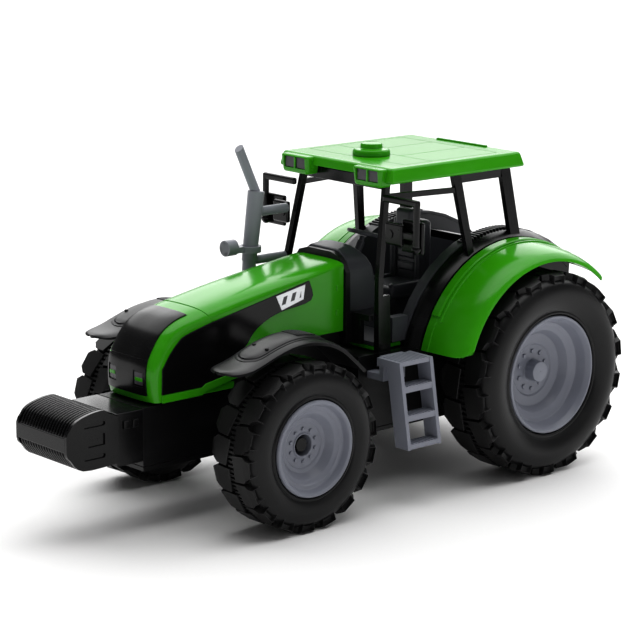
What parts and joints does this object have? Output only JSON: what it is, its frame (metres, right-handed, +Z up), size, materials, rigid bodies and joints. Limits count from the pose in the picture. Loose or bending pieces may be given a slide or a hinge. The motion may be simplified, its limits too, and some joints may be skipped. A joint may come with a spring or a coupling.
{
  "type": "toy farm tractor",
  "caption": "Toy farm tractor with an open cab, treaded wheels that roll, a geared flywheel motor, a turning steering wheel, a front weight block and a tow hitch.",
  "frame": {"origin": "on the ground, at the middle of the tractor's length and width", "axes": "+X to the tractor's left, +Y towards its back, +Z up; the hood points along -Y"},
  "size_m": [0.1608, 0.3308, 0.1766],
  "materials": {
    "green_gloss": "glossy injection-moulded green plastic",
    "black_satin": "satin black plastic",
    "matt_grey": "dark grey plastic with a fine matt texture",
    "cab_grey": "dark grey satin plastic",
    "stack_grey": "mid grey satin plastic",
    "rim_grey": "light blue-grey satin plastic",
    "tyre_black": "soft black vinyl with a moulded tread",
    "sticker_silver": "printed silver foil sticker",
    "steel": "plain drawn steel",
    "gear_white": "off-white gear plastic",
    "lamp_lens": "dark glossy lamp insert"
  },
  "bodies": {
    "tractor": {"chassis_shell": "black_satin", "base_plate": "black_satin", "base_screw_front": "steel", "base_screw_rear": "steel", "front_axle_beam": "black_satin", "nose_bracket": "black_satin", "weight_block": "black_satin", "hood_shell": "green_gloss", "nose_grille": "matt_grey", "side_panel_left": "black_satin", "side_panel_right": "black_satin", "badge_left": "sticker_silver", "badge_right": "sticker_silver", "firewall_frame": "black_satin", "dash_cowl": "cab_grey", "deck_plate": "green_gloss", "cab_tub": "cab_grey", "seat": "cab_grey", "steering_column": "cab_grey", "side_frame_left": "black_satin", "side_frame_right": "black_satin", "roof_frame": "black_satin", "rear_crossbar": "black_satin", "roof_shell": "green_gloss", "roof_lamp_left": "lamp_lens", "roof_lamp_right": "lamp_lens", "roof_beacon": "green_gloss", "mirror_arm_left": "black_satin", "mirror_arm_right": "black_satin", "mirror_head_left": "black_satin", "mirror_head_right": "black_satin", "exhaust_stack": "stack_grey", "exhaust_pod": "stack_grey", "ladder_left": "rim_grey", "ladder_right": "rim_grey", "front_fender_left": "matt_grey", "front_fender_right": "matt_grey", "rear_fender_left": "green_gloss", "rear_fender_right": "green_gloss", "front_axle": "steel", "axle_cap_left": "black_satin", "axle_cap_right": "black_satin", "motor_case": "gear_white", "motor_cover": "gear_white", "idler_shaft": "steel", "flywheel_shaft": "steel", "tow_hitch": "black_satin"},
    "front_wheel_left": {"front_rim_left": "rim_grey", "front_tyre_left": "tyre_black"},
    "front_wheel_right": {"front_rim_right": "rim_grey", "front_tyre_right": "tyre_black"},
    "rear_wheels": {"rear_axle": "steel", "rear_rim_left": "rim_grey", "rear_rim_right": "rim_grey", "rear_tyre_left": "tyre_black", "rear_tyre_right": "tyre_black", "axle_gear": "gear_white"},
    "idler": {"idler_gear": "gear_white"},
    "flywheel": {"flywheel": "steel"},
    "steering_wheel": {"steering_wheel": "cab_grey"}
  },
  "joints": [
    {"name": "rear_axle_spin", "type": "hinge", "parent": "tractor", "child": "rear_wheels", "pos_m": [0, 0.11035, 0.055], "axis": [1, 0, 0], "continuous": true},
    {"name": "front_left_spin", "type": "hinge", "parent": "tractor", "child": "front_wheel_left", "pos_m": [0.057, -0.05315, 0.04284], "axis": [1, 0, 0], "continuous": true},
    {"name": "front_right_spin", "type": "hinge", "parent": "tractor", "child": "front_wheel_right", "pos_m": [-0.057, -0.05315, 0.04284], "axis": [1, 0, 0], "continuous": true},
    {"name": "idler_spin", "type": "hinge", "parent": "tractor", "child": "idler", "pos_m": [0, 0.09335, 0.055], "axis": [1, 0, 0], "continuous": true},
    {"name": "flywheel_spin", "type": "hinge", "parent": "tractor", "child": "flywheel", "pos_m": [0, 0.07585, 0.055], "axis": [1, 0, 0], "continuous": true},
    {"name": "steering_turn", "type": "hinge", "parent": "tractor", "child": "steering_wheel", "pos_m": [0, 0.04385, 0.1286], "axis": [0, 0.2756, 0.9613], "continuous": true}
  ],
  "couplings": [
    {"joint": "idler_spin", "follows": "rear_axle_spin", "ratio": -2.4},
    {"joint": "flywheel_spin", "follows": "rear_axle_spin", "ratio": 6}
  ]
}
